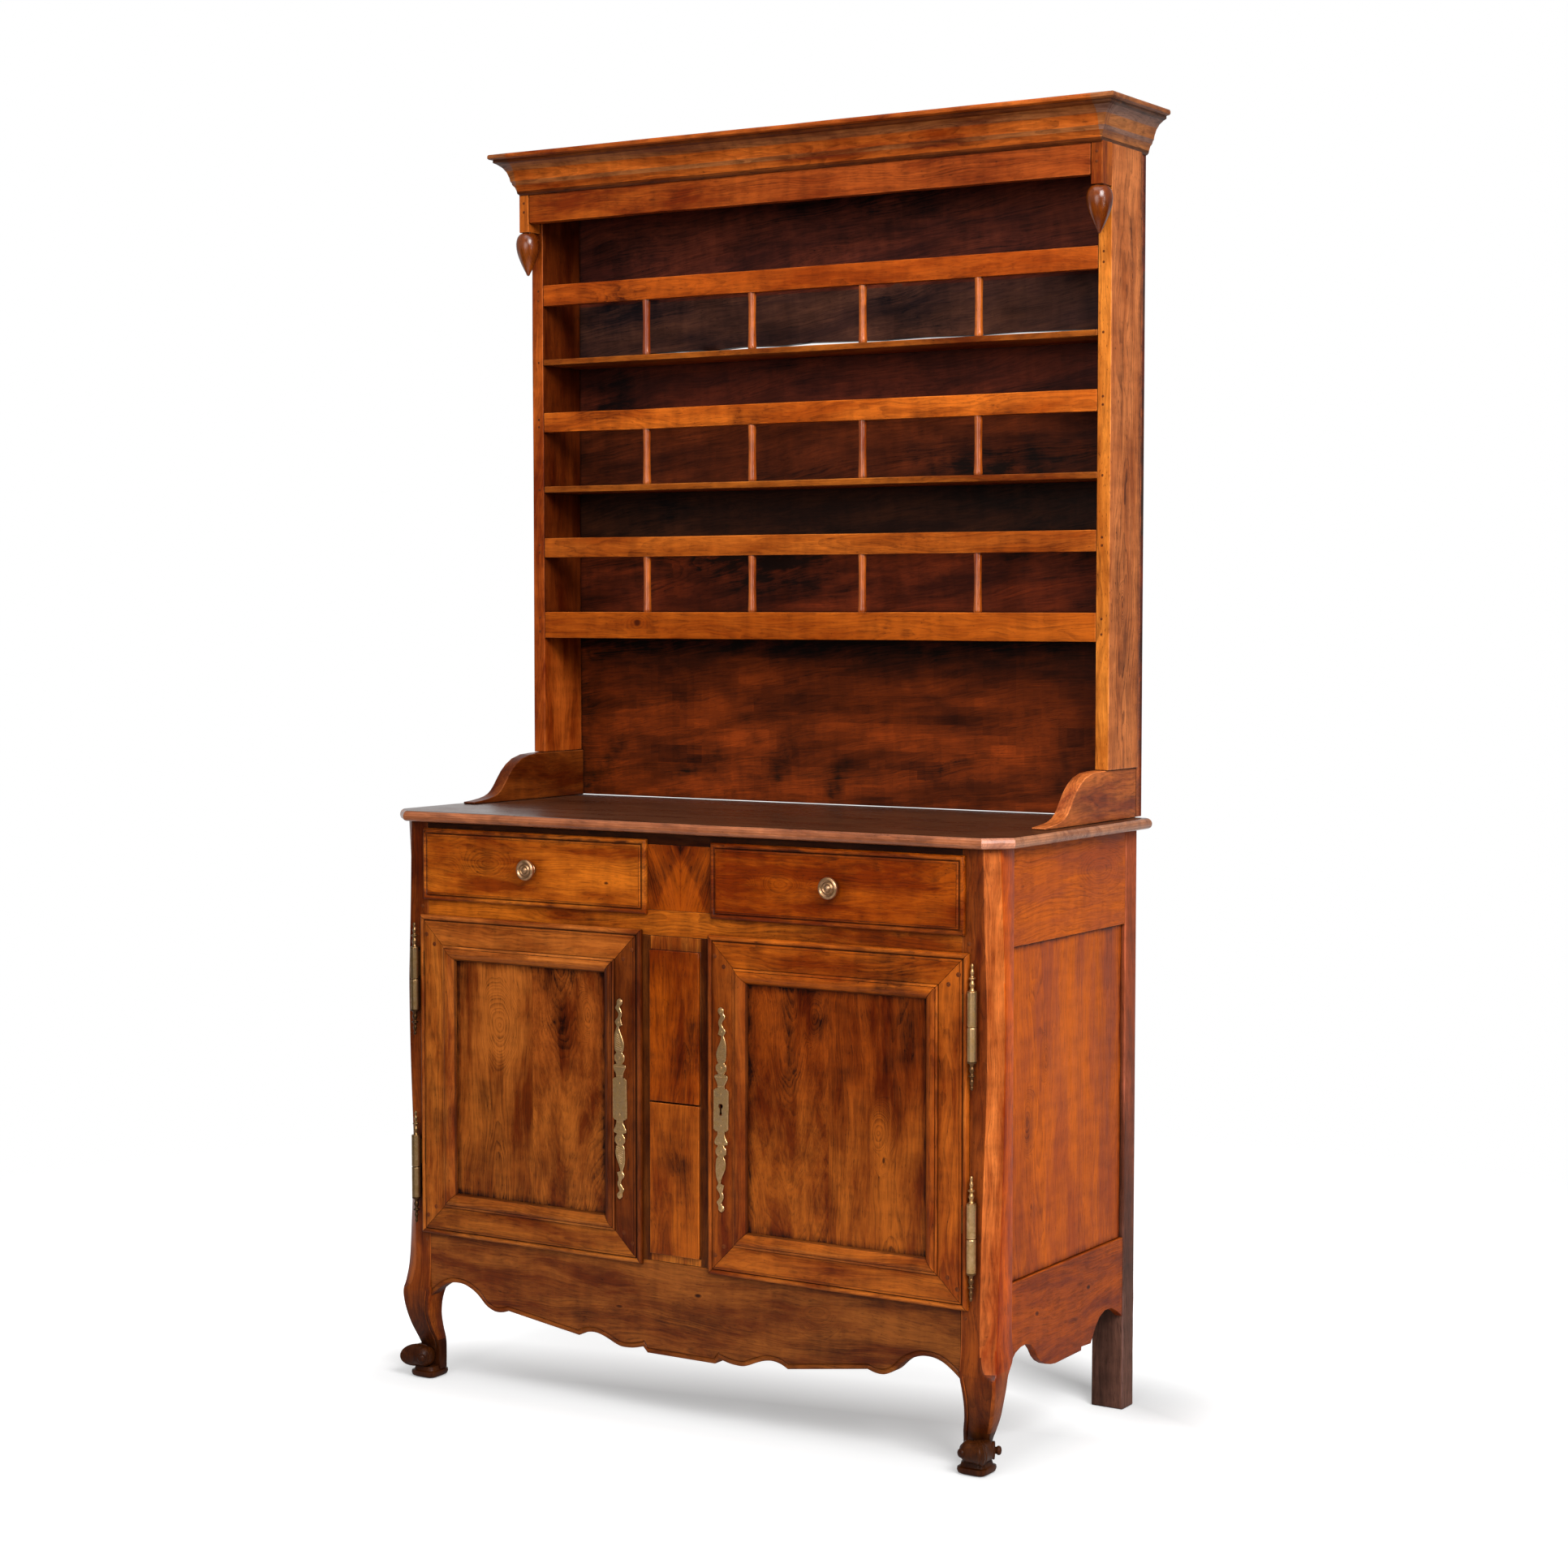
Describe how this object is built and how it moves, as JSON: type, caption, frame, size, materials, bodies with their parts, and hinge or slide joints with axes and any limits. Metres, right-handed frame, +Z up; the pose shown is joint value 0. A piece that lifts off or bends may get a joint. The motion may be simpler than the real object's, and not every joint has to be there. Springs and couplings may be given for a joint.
{
  "type": "two-part buffet",
  "caption": "Tall wooden plate-rack buffet: spindled plate shelves under a moulded cornice, on a cupboard with lipped drawers, panelled doors and scroll feet.",
  "frame": {"origin": "on the floor, under the middle of the overall box", "axes": "+Z up, front towards -Y, +X to the right of someone facing the front"},
  "size_m": [1.232, 0.5501, 2.13],
  "materials": {
    "fruitwood": "waxed",
    "table_wood": "polished",
    "dark_boards": "matt",
    "drawer_lining": "plain",
    "brass": "dull",
    "iron": "dark"
  },
  "bodies": {
    "carcase": {"table_top": "table_wood", "leg_front_left": "fruitwood", "leg_front_right": "fruitwood", "leg_rear_left": "fruitwood", "leg_rear_right": "fruitwood", "front_apron": "fruitwood", "top_rail": "fruitwood", "drawer_rail": "fruitwood", "drawer_divider": "fruitwood", "centre_stile": "fruitwood", "side_rail_left": "fruitwood", "side_rail_right": "fruitwood", "side_panel_left": "fruitwood", "side_panel_right": "fruitwood", "side_apron_left": "fruitwood", "side_apron_right": "fruitwood", "lower_back": "dark_boards", "cupboard_floor": "dark_boards", "cupboard_shelf": "dark_boards", "runner_frame": "dark_boards", "hinge_upper_frame_left": "brass", "hinge_upper_frame_right": "brass", "hinge_lower_frame_left": "brass", "hinge_lower_frame_right": "brass", "upper_side_left": "fruitwood", "upper_side_right": "fruitwood", "bracket_left": "fruitwood", "bracket_right": "fruitwood", "cornice": "fruitwood", "frieze": "fruitwood", "shelf_1": "fruitwood", "shelf_2": "fruitwood", "shelf_3": "fruitwood", "plate_rail_1": "fruitwood", "plate_rail_2": "fruitwood", "plate_rail_3": "fruitwood", "upper_back": "dark_boards"},
    "left_drawer": {"drawer_front_left": "fruitwood", "drawer_box_left": "drawer_lining", "drawer_knob_left": "brass"},
    "right_drawer": {"drawer_front_right": "fruitwood", "drawer_box_right": "drawer_lining", "drawer_knob_right": "brass"},
    "left_door": {"door_hinge_stile_left": "fruitwood", "door_closing_stile_left": "fruitwood", "door_top_rail_left": "fruitwood", "door_bottom_rail_left": "fruitwood", "door_panel_left": "fruitwood", "escutcheon_left": "brass", "hinge_upper_door_left": "brass", "hinge_lower_door_left": "brass"},
    "right_door": {"door_hinge_stile_right": "fruitwood", "door_closing_stile_right": "fruitwood", "door_top_rail_right": "fruitwood", "door_bottom_rail_right": "fruitwood", "door_panel_right": "fruitwood", "escutcheon_right": "brass", "hinge_upper_door_right": "brass", "hinge_lower_door_right": "brass"},
    "lock_bolt": {"lock_bolt": "iron"}
  },
  "joints": [
    {"name": "left_drawer_slide", "type": "slide", "parent": "carcase", "child": "left_drawer", "axis": [0, -1, 0], "range_m": [0, 0.32]},
    {"name": "right_drawer_slide", "type": "slide", "parent": "carcase", "child": "right_drawer", "axis": [0, -1, 0], "range_m": [0, 0.32]},
    {"name": "left_door_swing", "type": "hinge", "parent": "carcase", "child": "left_door", "pos_m": [-0.541, -0.247, 0.527], "axis": [0, 0, -1], "range_deg": [0, 165]},
    {"name": "right_door_swing", "type": "hinge", "parent": "carcase", "child": "right_door", "pos_m": [0.541, -0.247, 0.527], "axis": [0, 0, 1], "range_deg": [0, 165]},
    {"name": "lock_bolt_throw", "type": "slide", "parent": "right_door", "child": "lock_bolt", "axis": [-1, 0, 0], "range_m": [0, 0.012]}
  ]
}
